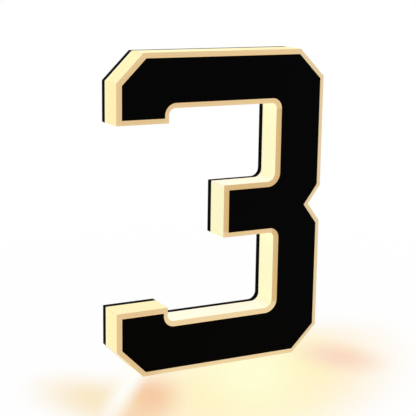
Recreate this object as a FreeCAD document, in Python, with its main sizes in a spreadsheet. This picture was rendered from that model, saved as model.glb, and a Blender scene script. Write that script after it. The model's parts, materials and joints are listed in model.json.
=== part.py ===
"""Illuminated house number: a figure 3 as a side-lit sign for a wall.

An opal housing is milled to the figure's outline and closed by a back plate that
carries four LED bars. A thin black face sits on a low plateau, so a rim of the lit
housing frames it. Four studs, nuts and spacers hold the sign off the wall. Walls,
plateau, face, film, seal and plate all follow one outline, drawn in by their own amounts.

Every piece is drawn in the plane of the figure: sketch X runs to the right, sketch Y
runs up and the sketch normal points out of the front. A body's placement then stands it
upright, so the finished sign has its front towards -Y and stands on Z = 0.
"""

import FreeCAD
import Part
import enum
import math
import os
import Sketcher
from FreeCAD import Placement, Rotation, Vector

# Driving dimensions in millimetres: alias, value, what it is.
DIMENSIONS = (
    ("figure_height", 200.0, "height of the figure"),
    ("figure_width", 143.0, "width of the figure"),
    ("stem_width", 34.0, "upright stroke on the right"),
    ("arm_height", 33.4, "top and bottom strokes"),
    ("middle_arm_height", 33.4, "short stroke in the middle"),
    ("middle_arm_reach", 36.5, "middle stroke, from the stem to its free end"),
    ("lobe_width", 34.2, "deeper free end of the top and bottom strokes"),
    ("lobe_drop", 9.1, "how much deeper the stroke is at that free end"),
    ("corner_chamfer", 17.5, "cut-off outer corners"),
    ("waist_depth", 8.7, "notch in the right side at half height"),
    ("waist_height", 23.6, "mouth of that notch"),
    ("counter_top_radius", 3.5, "upper inner corners of the two counters"),
    ("counter_bottom_radius", 5.5, "lower inner corners of the two counters"),
    ("step_radius", 4.2, "inner corner beside each lobe"),
    ("housing_depth", 17.5, "opal housing, from its rim to the back plate"),
    ("wall_thickness", 4.0, "side wall of the housing"),
    ("front_thickness", 3.0, "front wall of the housing"),
    ("rim_width", 3.2, "lit rim left bare around the face"),
    ("plateau_height", 0.6, "plateau that carries the face"),
    ("film_thickness", 0.2, "adhesive film under the face"),
    ("film_margin", 0.8, "how far the film stays back from the face's edge"),
    ("face_thickness", 0.5, "black face sheet"),
    ("plate_thickness", 4.5, "black back plate"),
    ("seal_inset", 1.2, "outline to the seal groove"),
    ("seal_width", 1.6, "seal cord and its groove"),
    ("seal_depth", 1.2, "seal cord and its groove"),
    ("boss_diameter", 7.4, "screw boss in the housing"),
    ("boss_inset", 2.5, "boss centre from the inner face of the wall"),
    ("stem_boss_height", 68.0, "boss beside the stem, from the nearer end of the figure"),
    ("screw_diameter", 3.0, "back plate screw"),
    ("screw_length", 10.0, "back plate screw, over its countersunk head"),
    ("screw_head_diameter", 5.6, "countersunk head"),
    ("screw_clearance", 0.2, "radial room round a screw in its plate"),
    ("socket_width", 2.0, "hexagon socket in a screw head, across flats"),
    ("socket_depth", 1.1, "hexagon socket in a screw head"),
    ("insert_width", 4.6, "hexagonal brass thread insert, across flats"),
    ("insert_length", 5.0, "brass thread insert"),
    ("insert_room", 1.2, "blind end of the hole beyond the insert"),
    ("stud_inset", 17.0, "stud centre from the sides of the figure"),
    ("stud_diameter", 4.0, "wall end of a stud"),
    ("stud_shank_diameter", 3.6, "stud inside the plate, nut and spacer"),
    ("stud_clearance", 0.2, "radial room round a stud in its washer and spacer"),
    ("stud_head_diameter", 7.6, "flush head on the inside of the back plate"),
    ("stud_end_length", 12.0, "stud beyond the spacer, inside the wall"),
    ("washer_diameter", 9.0, "washer under a stud nut"),
    ("washer_thickness", 0.8, "washer under a stud nut"),
    ("nut_across_flats", 7.0, "stud nut"),
    ("nut_thickness", 3.2, "stud nut"),
    ("spacer_diameter", 10.0, "wall spacer"),
    ("spacer_length", 8.0, "wall spacer"),
    ("bar_width", 8.0, "LED bar"),
    ("bar_thickness", 1.2, "LED bar"),
    ("tape_thickness", 0.2, "thermal tape under an LED bar"),
    ("tape_margin", 0.5, "edge of an LED bar to its tape"),
    ("stem_bar_gap", 5.0, "inner wall of the stem to its LED bar"),
    ("stem_bar_start", 7.1, "edge of an arm's LED bar to the end of the stem's, along the stem"),
    ("bar_end_gap", 5.0, "stud head, boss or bar to the end of an LED bar"),
    ("chip_length", 3.5, "LED package"),
    ("chip_width", 2.8, "LED package"),
    ("chip_height", 0.6, "LED package"),
    ("window_margin", 0.45, "edge of the package to its phosphor window"),
    ("window_height", 0.15, "phosphor window on the package"),
    ("chip_pitch", 12.0, "smallest spacing of the LED packages"),
    ("chip_margin", 8.0, "end of a bar to its first LED package"),
    ("resistor_length", 1.6, "chip resistor"),
    ("resistor_width", 0.8, "chip resistor"),
    ("resistor_height", 0.5, "chip resistor"),
    ("wire_diameter", 1.3, "jumper wire"),
    ("wire_spacing", 3.0, "between the two wires of a pair"),
    ("wire_landing", 5.0, "length of wire soldered on a bar"),
    ("side_landing", 1.8, "the same where the wire meets a bar from the side"),
    ("wire_bend_radius", 4.0, "inner wire's bend"),
    ("terminal_length", 7.0, "supply terminal, along its bar"),
    ("terminal_width", 7.0, "supply terminal, across its bar"),
    ("terminal_height", 8.0, "supply terminal"),
    ("terminal_pitch", 3.5, "between the two ways of the terminal"),
    ("terminal_entry_diameter", 1.8, "wire entry in the terminal"),
    ("terminal_entry_depth", 4.5, "wire entry in the terminal"),
    ("terminal_screw_diameter", 2.2, "clamp screw of the terminal"),
    ("terminal_screw_length", 3.0, "clamp screw of the terminal"),
    ("terminal_slot_width", 0.6, "slot in the clamp screw"),
    ("terminal_slot_length", 1.5, "slot in the clamp screw"),
    ("terminal_well_depth", 4.2, "well over the clamp screw"),
    ("grommet_bore", 4.4, "cable hole through the grommet"),
    ("grommet_neck", 7.0, "grommet in the hole of the back plate"),
    ("grommet_flange", 9.6, "flanges of the grommet"),
    ("grommet_lip", 1.5, "thickness of each flange"),
    ("grommet_inset", 5.9, "grommet centre from the inner face of the stem's outer wall"),
)

COUNTERSINK_ANGLE = 90.0
LEAST_CUT = 1e-3  # cubic millimetres that a pocket or a row of holes has to take away
HALF_OF_45 = math.tan(math.radians(22.5))


class Point(enum.IntEnum):
    """Which point of a sketch's geometry a constraint means."""

    START = 1
    END = 2
    CENTRE = 3


class Axis(enum.IntEnum):
    """The sketch's own axes, as constraints number them."""

    ACROSS = -1
    UP = -2


class Sides(enum.IntEnum):
    """Number of sides of a regular polygon."""

    HEXAGON = 6
    OCTAGON = 8


class Size:
    """A length: its value in millimetres and the expression that gives it."""

    def __init__(self, value, text):
        self.value = value
        self.text = text

    def __add__(self, other):
        other = as_size(other)
        return Size(self.value + other.value, f"({self.text} + {other.text})")

    def __sub__(self, other):
        other = as_size(other)
        return Size(self.value - other.value, f"({self.text} - {other.text})")

    def __mul__(self, other):
        other = as_size(other)
        return Size(self.value * other.value, f"({self.text} * {other.text})")

    def __truediv__(self, other):
        other = as_size(other)
        return Size(self.value / other.value, f"({self.text} / {other.text})")

    def __neg__(self):
        return Size(-self.value, f"(-{self.text})")


def as_size(value):
    return value if isinstance(value, Size) else Size(float(value), repr(float(value)))


def hypotenuse(a, b):
    return Size(math.hypot(a.value, b.value), f"sqrt({a.text} * {a.text} + {b.text} * {b.text})")


class Sizes:
    """The spreadsheet's cells as attributes, each one a Size."""

    def __init__(self, sheet):
        for row, (alias, value, meaning) in enumerate(DIMENSIONS, start=1):
            sheet.set(f"A{row}", meaning)
            sheet.set(f"B{row}", str(value))
            sheet.setAlias(f"B{row}", alias)
            setattr(self, alias, Size(value, f"Sizes.{alias}"))


doc = FreeCAD.newDocument("house_number")
sheet = doc.addObject("Spreadsheet::Sheet", "Sizes")
size = Sizes(sheet)
doc.recompute()

# Places that several pieces share, in the plane of the figure.
STEM_LEFT = size.figure_width - size.stem_width
MIDDLE_LEFT = STEM_LEFT - size.middle_arm_reach
MIDDLE_LOW = (size.figure_height - size.middle_arm_height) / 2
MIDDLE_HIGH = (size.figure_height + size.middle_arm_height) / 2
HALF_HEIGHT = size.figure_height / 2
LOBE_HEIGHT = size.arm_height + size.lobe_drop
ARM_CENTRE_LOW = size.arm_height / 2
ARM_CENTRE_HIGH = size.figure_height - ARM_CENTRE_LOW
BOSS_FROM_OUTLINE = size.wall_thickness + size.boss_inset
STEM_BAR_LEFT = STEM_LEFT + size.wall_thickness + size.stem_bar_gap
STEM_BAR_CENTRE = STEM_BAR_LEFT + size.bar_width / 2

# Depths, measured along Y from halfway between the rim and the back of the plate.
HALF_DEPTH = (size.housing_depth + size.plate_thickness) / 2
SEAT_Y = size.housing_depth - HALF_DEPTH
RIM_Y = -HALF_DEPTH
PLATEAU_Y = RIM_Y - size.plateau_height
FACE_BACK_Y = PLATEAU_Y - size.film_thickness
BAR_BACK_Y = SEAT_Y - size.tape_thickness
BAR_TOP_Y = BAR_BACK_Y - size.bar_thickness
PLATE_BACK_Y = HALF_DEPTH


def bind(thing, path, amount):
    """Ties a property to the sheet."""
    thing.setExpression(path, as_size(amount).text)


def constrain(sketch, amount, *constraint):
    """Adds a dimension to a sketch and ties it to the sheet."""
    amount = as_size(amount)
    index = sketch.addConstraint(Sketcher.Constraint(*constraint, amount.value))
    sketch.setExpression(f"Constraints[{index}]", amount.text)


def place_point(sketch, geometry, point, x, y):
    """Fixes a sketch point at x, y, or on an axis where the place is None."""
    origin = (Axis.ACROSS, Point.START)
    if x is None:
        sketch.addConstraint(Sketcher.Constraint("PointOnObject", geometry, point, Axis.UP))
    else:
        constrain(sketch, x, "DistanceX", *origin, geometry, point)
    if y is None:
        sketch.addConstraint(Sketcher.Constraint("PointOnObject", geometry, point, Axis.ACROSS))
    else:
        constrain(sketch, y, "DistanceY", *origin, geometry, point)


def new_body(label, back_y):
    """A body that stands upright, its sketch plane at depth back_y."""
    body = doc.addObject("PartDesign::Body", label)
    body.Label = label
    body.AllowCompound = True
    body.Placement = Placement(Vector(0, 0, 0), Rotation(Vector(1, 0, 0), 90))
    bind(body, "Placement.Base.x", -size.figure_width / 2)
    bind(body, "Placement.Base.y", back_y)
    return body


def origin_feature(body, role):
    return next(f for f in body.Origin.OriginFeatures if f.Role == role)


def new_sketch(body, name, height=0.0, plane="XY_Plane"):
    """A sketch in the body's own plane, lifted by height towards its normal."""
    sketch = body.newObject("Sketcher::SketchObject", name)
    sketch.AttachmentSupport = [(origin_feature(body, plane), "")]
    sketch.MapMode = "FlatFace"
    bind(sketch, "AttachmentOffset.Base.z", height)
    return sketch


def circles(body, name, centres, diameter, height=0.0):
    """One circle round each centre."""
    sketch = new_sketch(body, name, height)
    diameter = as_size(diameter)
    for x, y in centres:
        circle = Part.Circle(Vector(x.value, y.value, 0), Vector(0, 0, 1), diameter.value / 2)
        index = sketch.addGeometry(circle)
        place_point(sketch, index, Point.CENTRE, x, y)
        constrain(sketch, diameter, "Diameter", index)
    return sketch


def polygon(sketch, points):
    """A closed chain of lines; returns the index of its first line."""
    corners = [Vector(x, y, 0) for x, y in points]
    first = sketch.GeometryCount
    for a, b in zip(corners, corners[1:] + corners[:1]):
        sketch.addGeometry(Part.LineSegment(a, b))
    for k in range(len(corners)):
        joint = (first + k, Point.END, first + (k + 1) % len(corners), Point.START)
        sketch.addConstraint(Sketcher.Constraint("Coincident", *joint))
    return first


def rectangles(body, name, centres, width, height_up, height=0.0):
    """One rectangle round each centre, width along X and height_up along Y."""
    sketch = new_sketch(body, name, height)
    width, tall = as_size(width), as_size(height_up)
    for x, y in centres:
        left, low = x - width / 2, y - tall / 2
        right, high = left.value + width.value, low.value + tall.value
        points = ((left.value, low.value), (right, low.value), (right, high), (left.value, high))
        first = polygon(sketch, points)
        for k, way in enumerate(("Horizontal", "Vertical", "Horizontal", "Vertical")):
            sketch.addConstraint(Sketcher.Constraint(way, first + k))
        place_point(sketch, first, Point.START, left, low)
        constrain(sketch, width, "DistanceX", first, Point.START, first, Point.END)
        constrain(sketch, tall, "DistanceY", first + 1, Point.START, first + 1, Point.END)
    return sketch


def draw_polygons(sketch, sides, centres, across_flats):
    """A regular polygon round each centre, with a pair of its flats upright."""
    turn = math.pi / sides
    radius = across_flats / 2 / math.cos(turn)
    directions = [(math.cos(a), math.sin(a)) for a in (turn * (2 * k + 1) for k in range(sides))]
    for x, y in centres:
        corners = [(x + radius * across, y + radius * up) for across, up in directions]
        first = polygon(sketch, [(a.value, b.value) for a, b in corners])
        for k, (a, b) in enumerate(corners):
            place_point(sketch, first + k, Point.START, a, b)
    return sketch


def hexagons(body, name, centres, across_flats, height=0.0):
    return draw_polygons(new_sketch(body, name, height), Sides.HEXAGON, centres, across_flats)


def pad(body, name, profile, length, forward=True, taper=None):
    """Adds material towards the front, or towards the back."""
    feature = body.newObject("PartDesign::Pad", name)
    feature.Profile = profile
    feature.Reversed = not forward
    bind(feature, "Length", length)
    if taper is not None:
        feature.TaperAngle = taper
    return feature


def require_cut(body, name, before):
    """Stops unless the body has lost volume."""
    if body.Shape.Volume > before - LEAST_CUT:
        raise RuntimeError(f"{body.Label}: {name} cuts nothing")


def pocket(body, name, profile, depth, forward=True):
    """Cuts towards the front, or towards the back, and checks that it cut something."""
    doc.recompute()
    before = body.Shape.Volume
    feature = body.newObject("PartDesign::Pocket", name)
    feature.Profile = profile
    feature.Reversed = forward
    bind(feature, "Length", depth)
    doc.recompute()
    require_cut(body, name, before)
    return feature


def countersunk_holes(body, name, profile, diameter, head_diameter, forward):
    """Through holes with a 90 degree countersink at the sketch's side."""
    doc.recompute()
    before = body.Shape.Volume
    hole = body.newObject("PartDesign::Hole", name)
    hole.Profile = profile
    doc.recompute()
    hole.Reversed = forward
    hole.Threaded = False
    hole.DepthType = "ThroughAll"
    hole.HoleCutType = "Countersink"
    hole.HoleCutCustomValues = True
    hole.HoleCutCountersinkAngle = COUNTERSINK_ANGLE
    bind(hole, "Diameter", diameter)
    bind(hole, "HoleCutDiameter", head_diameter)
    doc.recompute()
    require_cut(body, name, before)
    return hole


def figure_corners(inset):
    """The figure's corners, anticlockwise from the lower left: x, y and inner radius.

    Every edge lies inset inside the figure's own edge, so at a cut-off corner and at the
    notch the corners also slide along their edges.
    """
    wide, tall = size.figure_width, size.figure_height
    waist, mouth = size.waist_depth, size.waist_height / 2
    slope = hypotenuse(waist, mouth)
    cut = size.corner_chamfer + inset * HALF_OF_45
    half_mouth = mouth + inset * ((slope - mouth) / waist)
    tip = wide - waist - inset * (slope / mouth)
    step = size.step_radius + inset
    upper, lower = size.counter_top_radius + inset, size.counter_bottom_radius + inset
    left, right, bottom, top = inset, wide - inset, inset, tall - inset
    lobe_side, stem_side = size.lobe_width - inset, STEM_LEFT + inset
    lobe_low, lobe_high = LOBE_HEIGHT - inset, tall - LOBE_HEIGHT + inset
    arm_low, arm_high = size.arm_height - inset, tall - size.arm_height + inset
    middle_end, middle_low, middle_high = MIDDLE_LEFT + inset, MIDDLE_LOW + inset, MIDDLE_HIGH - inset
    return (
        (cut, bottom, None),
        (wide - cut, bottom, None),
        (right, cut, None),
        (right, HALF_HEIGHT - half_mouth, None),
        (tip, HALF_HEIGHT, None),
        (right, HALF_HEIGHT + half_mouth, None),
        (right, tall - cut, None),
        (wide - cut, top, None),
        (cut, top, None),
        (left, tall - cut, None),
        (left, lobe_high, None),
        (lobe_side, lobe_high, None),
        (lobe_side, arm_high, step),
        (stem_side, arm_high, upper),
        (stem_side, middle_high, lower),
        (middle_end, middle_high, None),
        (middle_end, middle_low, None),
        (stem_side, middle_low, upper),
        (stem_side, arm_low, lower),
        (lobe_side, arm_low, step),
        (lobe_side, lobe_low, None),
        (left, lobe_low, None),
        (left, cut, None),
    )


def outline(body, name, inset=None, height=0.0):
    """The figure's outline, drawn in by inset, as a sketch of this body."""
    sketch = new_sketch(body, name, height)
    corners = figure_corners(inset or Size(0.0, "0"))
    count = len(corners)
    points = [Vector(x.value, y.value, 0) for x, y, _ in corners]
    along = [(points[(k + 1) % count] - points[k]).normalize() for k in range(count)]

    for k, (_, _, radius) in enumerate(corners):
        following = corners[(k + 1) % count][2]
        begin = points[k] + along[k] * (radius.value if radius else 0.0)
        finish = points[(k + 1) % count] - along[k] * (following.value if following else 0.0)
        sketch.addGeometry(Part.LineSegment(begin, finish))

    for k, (x, y, radius) in enumerate(corners):
        before = (k - 1) % count
        if radius:
            # Every rounded corner turns to the right, so its arc runs against the outline.
            centre = points[k] + (along[k] - along[before]) * radius.value
            first = math.atan2(along[before].y, along[before].x)
            last = math.atan2(-along[k].y, -along[k].x)
            circle = Part.Circle(centre, Vector(0, 0, 1), radius.value)
            arc = sketch.addGeometry(Part.ArcOfCircle(circle, first, last))
            joint_in, joint_out = (before, Point.END, arc, Point.END), (arc, Point.START, k, Point.START)
            sketch.addConstraint(Sketcher.Constraint("Tangent", *joint_in))
            sketch.addConstraint(Sketcher.Constraint("Tangent", *joint_out))
            constrain(sketch, radius, "Radius", arc)
        else:
            joint = (before, Point.END, k, Point.START)
            sketch.addConstraint(Sketcher.Constraint("Coincident", *joint))
            place_point(sketch, k, Point.START, x if x.value else None, y if y.value else None)

    for k, (x, y, radius) in enumerate(corners):
        following = corners[(k + 1) % count][2]
        if not (radius or following):
            continue
        level = abs(along[k].y) < abs(along[k].x)
        sketch.addConstraint(Sketcher.Constraint("Horizontal" if level else "Vertical", k))
        if radius and following and level:
            constrain(sketch, y, "DistanceY", Axis.ACROSS, Point.START, k, Point.START)
        elif radius and following:
            constrain(sketch, x, "DistanceX", Axis.ACROSS, Point.START, k, Point.START)
    return sketch


def upper_and_lower(points):
    """The points and their mirror images in the figure's upper half."""
    return [*points, *((x, size.figure_height - y) for x, y in points)]


def boss_centres():
    """Seven places where the back plate screws into the housing."""
    lower = (
        (size.lobe_width / 2, LOBE_HEIGHT - BOSS_FROM_OUTLINE),
        (STEM_LEFT / 2, BOSS_FROM_OUTLINE),
        (size.figure_width - BOSS_FROM_OUTLINE, size.stem_boss_height),
    )
    return [*upper_and_lower(lower), (MIDDLE_LEFT + BOSS_FROM_OUTLINE, HALF_HEIGHT)]


def stud_centres():
    left, right = size.stud_inset, size.figure_width - size.stud_inset
    return upper_and_lower(((left, size.stud_inset), (right, size.stud_inset)))


BOSSES = boss_centres()
STUDS = stud_centres()


# ---- Housing -----------------------------------------------------------------------


def light_body():
    """Opal housing: side walls, front wall, plateau for the face and screw bosses."""
    body = new_body("light_body", SEAT_Y)
    cavity_depth = size.housing_depth - size.front_thickness
    pad(body, "Block", outline(body, "Outer"), size.housing_depth)
    cavity = outline(body, "Inner", size.wall_thickness)
    pocket(body, "Cavity", cavity, cavity_depth)
    plateau = outline(body, "PlateauEdge", size.rim_width, size.housing_depth)
    pad(body, "Plateau", plateau, size.plateau_height)
    pad(body, "Bosses", circles(body, "BossCircles", BOSSES, size.boss_diameter), cavity_depth)
    holes = hexagons(body, "InsertHexagons", BOSSES, size.insert_width)
    pocket(body, "InsertHoles", holes, size.insert_length + size.insert_room)
    return body


def face_plate():
    """Thin black sheet that covers the plateau."""
    body = new_body("face_plate", FACE_BACK_Y)
    pad(body, "Sheet", outline(body, "Edge", size.rim_width), size.face_thickness)
    return body


def face_film():
    """Adhesive film between the plateau and the face."""
    body = new_body("face_film", PLATEAU_Y)
    edge = outline(body, "Edge", size.rim_width + size.film_margin)
    pad(body, "Film", edge, size.film_thickness)
    return body


def grommet_centre():
    across = size.figure_width - size.wall_thickness - size.grommet_inset
    return across, STEM_BAR.first_gap()


def back_plate():
    """Black plate with the seal groove and the holes for everything that it carries."""
    body = new_body("back_plate", PLATE_BACK_Y)
    pad(body, "Plate", outline(body, "Outer"), size.plate_thickness)
    groove = outline(body, "GrooveOuter", size.seal_inset, size.plate_thickness)
    pocket(body, "Groove", groove, size.seal_depth, forward=False)
    floor = size.plate_thickness - size.seal_depth
    land = outline(body, "GrooveInner", size.seal_inset + size.seal_width, floor)
    pad(body, "Land", land, size.seal_depth)

    room = size.screw_clearance * 2
    screws = circles(body, "ScrewCircles", BOSSES, size.screw_diameter)
    countersunk_holes(
        body, "ScrewHoles", screws,
        size.screw_diameter + room, size.screw_head_diameter + room, forward=True,
    )
    studs = circles(body, "StudCircles", STUDS, size.stud_shank_diameter, size.plate_thickness)
    countersunk_holes(
        body, "StudHoles", studs,
        size.stud_shank_diameter, size.stud_head_diameter, forward=False,
    )
    grommet = circles(body, "GrommetCircle", [grommet_centre()], size.grommet_neck)
    pocket(body, "GrommetHole", grommet, size.plate_thickness)
    return body


def seal_ring():
    """Rubber cord in the back plate's groove, pressed on by the housing wall."""
    body = new_body("seal_ring", SEAT_Y)
    outer = outline(body, "Outer", size.seal_inset)
    pad(body, "Cord", outer, size.seal_depth, forward=False)
    inner = outline(body, "Inner", size.seal_inset + size.seal_width)
    pocket(body, "Middle", inner, size.seal_depth, forward=False)
    return body


# ---- Fasteners ---------------------------------------------------------------------


def back_screws():
    """Countersunk screws, flush with the back plate."""
    body = new_body("back_screws", PLATE_BACK_Y)
    head_height = (size.screw_head_diameter - size.screw_diameter) / 2
    rims = circles(body, "HeadCircles", BOSSES, size.screw_head_diameter)
    pad(body, "Heads", rims, head_height, taper=-COUNTERSINK_ANGLE / 2)
    shanks = circles(body, "ShankCircles", BOSSES, size.screw_diameter)
    pad(body, "Shanks", shanks, size.screw_length)
    sockets = hexagons(body, "SocketHexagons", BOSSES, size.socket_width)
    pocket(body, "Sockets", sockets, size.socket_depth)
    return body


def screw_inserts():
    """Brass inserts in the bosses, flush with the rear of the housing."""
    body = new_body("screw_inserts", SEAT_Y)
    pad(body, "Barrels", hexagons(body, "Outer", BOSSES, size.insert_width), size.insert_length)
    bores = circles(body, "Bore", BOSSES, size.screw_diameter)
    pocket(body, "Threads", bores, size.insert_length)
    return body


def wall_studs():
    """Studs with a flush head inside the back plate and a free end for the wall."""
    body = new_body("wall_studs", PLATE_BACK_Y)
    head_height = (size.stud_head_diameter - size.stud_shank_diameter) / 2
    heads = circles(body, "HeadCircles", STUDS, size.stud_head_diameter, size.plate_thickness)
    pad(body, "Heads", heads, head_height, forward=False, taper=-COUNTERSINK_ANGLE / 2)
    stand_off = size.washer_thickness + size.nut_thickness + size.spacer_length
    shanks = circles(body, "ShankCircles", STUDS, size.stud_shank_diameter, size.plate_thickness)
    pad(body, "Shanks", shanks, size.plate_thickness + stand_off, forward=False)
    ends = circles(body, "EndCircles", STUDS, size.stud_diameter, -stand_off)
    pad(body, "Ends", ends, size.stud_end_length, forward=False)
    return body


def stud_washers():
    body = new_body("stud_washers", PLATE_BACK_Y)
    rims = circles(body, "Outer", STUDS, size.washer_diameter)
    pad(body, "Discs", rims, size.washer_thickness, forward=False)
    bore = size.stud_shank_diameter + size.stud_clearance * 2
    bores = circles(body, "Bore", STUDS, bore)
    pocket(body, "Bores", bores, size.washer_thickness, forward=False)
    return body


def stud_nuts():
    body = new_body("stud_nuts", PLATE_BACK_Y + size.washer_thickness)
    flats = hexagons(body, "Outer", STUDS, size.nut_across_flats)
    pad(body, "Nuts", flats, size.nut_thickness, forward=False)
    bores = circles(body, "Bore", STUDS, size.stud_shank_diameter)
    pocket(body, "Bores", bores, size.nut_thickness, forward=False)
    return body


def wall_spacers():
    """Sleeves that hold the sign off the wall."""
    behind = PLATE_BACK_Y + size.washer_thickness + size.nut_thickness
    body = new_body("wall_spacers", behind)
    rims = circles(body, "Outer", STUDS, size.spacer_diameter)
    pad(body, "Sleeves", rims, size.spacer_length, forward=False)
    bores = circles(body, "Bore", STUDS, size.stud_diameter + size.stud_clearance * 2)
    pocket(body, "Bores", bores, size.spacer_length, forward=False)
    return body


# ---- Light engine ------------------------------------------------------------------


class Bar:
    """Where one LED bar lies: from begin to end, along X or along Y."""

    def __init__(self, name, centre, begin, end, upright=False):
        self.name = name
        self.centre = centre
        self.begin = begin
        self.end = end
        self.upright = upright
        self.run = end - begin - size.chip_margin * 2
        self.gaps = self.count_gaps()

    def count_gaps(self):
        """How many gaps of at least the smallest pitch the bar has room for."""
        gaps = max(1, math.floor(self.run.value / size.chip_pitch.value))
        return Size(gaps, f"max(1; floor({self.run.text} / {size.chip_pitch.text}))")

    def along(self, distance):
        """The point on the bar's centre line at this distance from its begin."""
        place = self.begin + distance
        return (self.centre, place) if self.upright else (place, self.centre)

    def middle(self):
        return self.along((self.end - self.begin) / 2)

    def first_gap(self):
        """The middle of the gap between the first two packages, as a place along the bar."""
        return self.begin + size.chip_margin + self.run / self.gaps / 2


ARM_BAR_BEGIN = size.stud_inset + size.stud_head_diameter / 2 + size.bar_end_gap
MIDDLE_BAR_BEGIN = (
    MIDDLE_LEFT + BOSS_FROM_OUTLINE + size.boss_diameter / 2 + size.bar_end_gap / 2
)
STEM_BAR_BEGIN = ARM_CENTRE_LOW + size.bar_width / 2 + size.stem_bar_start
TOP_BAR = Bar("top", ARM_CENTRE_HIGH, ARM_BAR_BEGIN, STEM_LEFT)
MIDDLE_BAR = Bar("middle", HALF_HEIGHT, MIDDLE_BAR_BEGIN, STEM_BAR_LEFT - size.bar_end_gap)
BOTTOM_BAR = Bar("bottom", ARM_CENTRE_LOW, ARM_BAR_BEGIN, STEM_LEFT)
STEM_BAR = Bar(
    "stem", STEM_BAR_CENTRE, STEM_BAR_BEGIN, size.figure_height - STEM_BAR_BEGIN, upright=True
)
BARS = (TOP_BAR, MIDDLE_BAR, BOTTOM_BAR, STEM_BAR)


def across_bar(bar, along, across):
    """Sketch width and height of something laid out along a bar and across it."""
    return (across, along) if bar.upright else (along, across)


def led_bar(bar):
    """Metal-backed circuit strip, taped flat to the back plate."""
    body = new_body(f"led_bar_{bar.name}", BAR_BACK_Y)
    wide, tall = across_bar(bar, bar.end - bar.begin, size.bar_width)
    pad(body, "Strip", rectangles(body, "Edge", [bar.middle()], wide, tall), size.bar_thickness)
    return body


def bar_tapes():
    """Thermal tape under every LED bar."""
    body = new_body("bar_tapes", SEAT_Y)
    for bar in BARS:
        run = bar.end - bar.begin - size.tape_margin * 2
        wide, tall = across_bar(bar, run, size.bar_width - size.tape_margin * 2)
        edge = rectangles(body, f"{bar.name.title()}Edge", [bar.middle()], wide, tall)
        pad(body, f"{bar.name.title()}Tape", edge, size.tape_thickness)
    return body


def led_chips(bar):
    """The LED packages of one bar, each with its phosphor window."""
    body = new_body(f"led_chips_{bar.name}", BAR_TOP_Y)
    first = [bar.along(size.chip_margin)]
    wide, tall = across_bar(bar, size.chip_length, size.chip_width)
    package = pad(body, "Package", rectangles(body, "Edge", first, wide, tall), size.chip_height)
    border = size.window_margin * 2
    glass = rectangles(body, "Window", first, wide - border, tall - border, size.chip_height)
    window = pad(body, "Phosphor", glass, size.window_height)
    row = body.newObject("PartDesign::LinearPattern", "Row")
    row.Originals = [package, window]
    row.Direction = (origin_feature(body, "Y_Axis" if bar.upright else "X_Axis"), [""])
    row.Mode = "Extent"
    bind(row, "Length", bar.run)
    row.setExpression("Occurrences", f"{bar.gaps.text} + 1")
    body.Tip = row
    return body


def bar_resistors():
    """One chip resistor beside a package of every bar."""
    body = new_body("bar_resistors", BAR_TOP_Y)
    for bar in BARS:
        beside = size.chip_width / 2 - size.bar_width / 4 - size.chip_width
        x, y = bar.along(size.chip_margin)
        centre = (x + beside, y) if bar.upright else (x, y + beside)
        wide, tall = across_bar(bar, size.resistor_length, size.resistor_width)
        edge = rectangles(body, f"{bar.name.title()}Edge", [centre], wide, tall)
        pad(body, f"{bar.name.title()}Resistor", edge, size.resistor_height)
    return body


def corner_route(bar, side, upper):
    """Points of a wire from an arm's bar round the corner to the stem's bar.

    side is +1 for the wire on the outside of the bend and -1 for the inside one.
    """
    shift = size.wire_spacing * (side / 2)
    column = STEM_BAR_CENTRE + shift
    level = bar.centre + shift if upper else bar.centre - shift
    landing = STEM_BAR.end - size.wire_landing if upper else STEM_BAR.begin + size.wire_landing
    return (bar.end - size.wire_landing, level), (column, level), (column, landing)


def wire_path(body, name, begin, corner, finish, radius):
    """A sketch of a run along X, a quarter turn and a run along Y, on the wire's axis."""
    sketch = new_sketch(body, name, size.wire_diameter / 2)
    rise = 1 if finish[1].value > corner[1].value else -1
    bend = radius.value
    turn_in = Vector(corner[0].value - bend, corner[1].value, 0)
    turn_out = Vector(corner[0].value, corner[1].value + rise * bend, 0)
    centre = Vector(turn_in.x, turn_out.y, 0)
    sketch.addGeometry(Part.LineSegment(Vector(begin[0].value, begin[1].value, 0), turn_in))
    circle = Part.Circle(centre, Vector(0, 0, 1), bend)
    quarter = math.pi / 2
    first, last = (-quarter, 0.0) if rise > 0 else (0.0, quarter)
    sketch.addGeometry(Part.ArcOfCircle(circle, first, last))
    sketch.addGeometry(Part.LineSegment(turn_out, Vector(finish[0].value, finish[1].value, 0)))
    into, out = (Point.START, Point.END) if rise > 0 else (Point.END, Point.START)
    sketch.addConstraint(Sketcher.Constraint("Tangent", 0, Point.END, 1, into))
    sketch.addConstraint(Sketcher.Constraint("Tangent", 1, out, 2, Point.START))
    sketch.addConstraint(Sketcher.Constraint("Horizontal", 0))
    sketch.addConstraint(Sketcher.Constraint("Vertical", 2))
    place_point(sketch, 0, Point.START, *begin)
    place_point(sketch, 2, Point.END, *finish)
    constrain(sketch, radius, "Radius", 1)
    return sketch


def wire_section(body, name, across, begin):
    """The eight-sided section of a wire that starts along X at this distance."""
    sketch = new_sketch(body, name, begin, "YZ_Plane")
    centre = (across, size.wire_diameter / 2)
    return draw_polygons(sketch, Sides.OCTAGON, [centre], size.wire_diameter)


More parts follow.
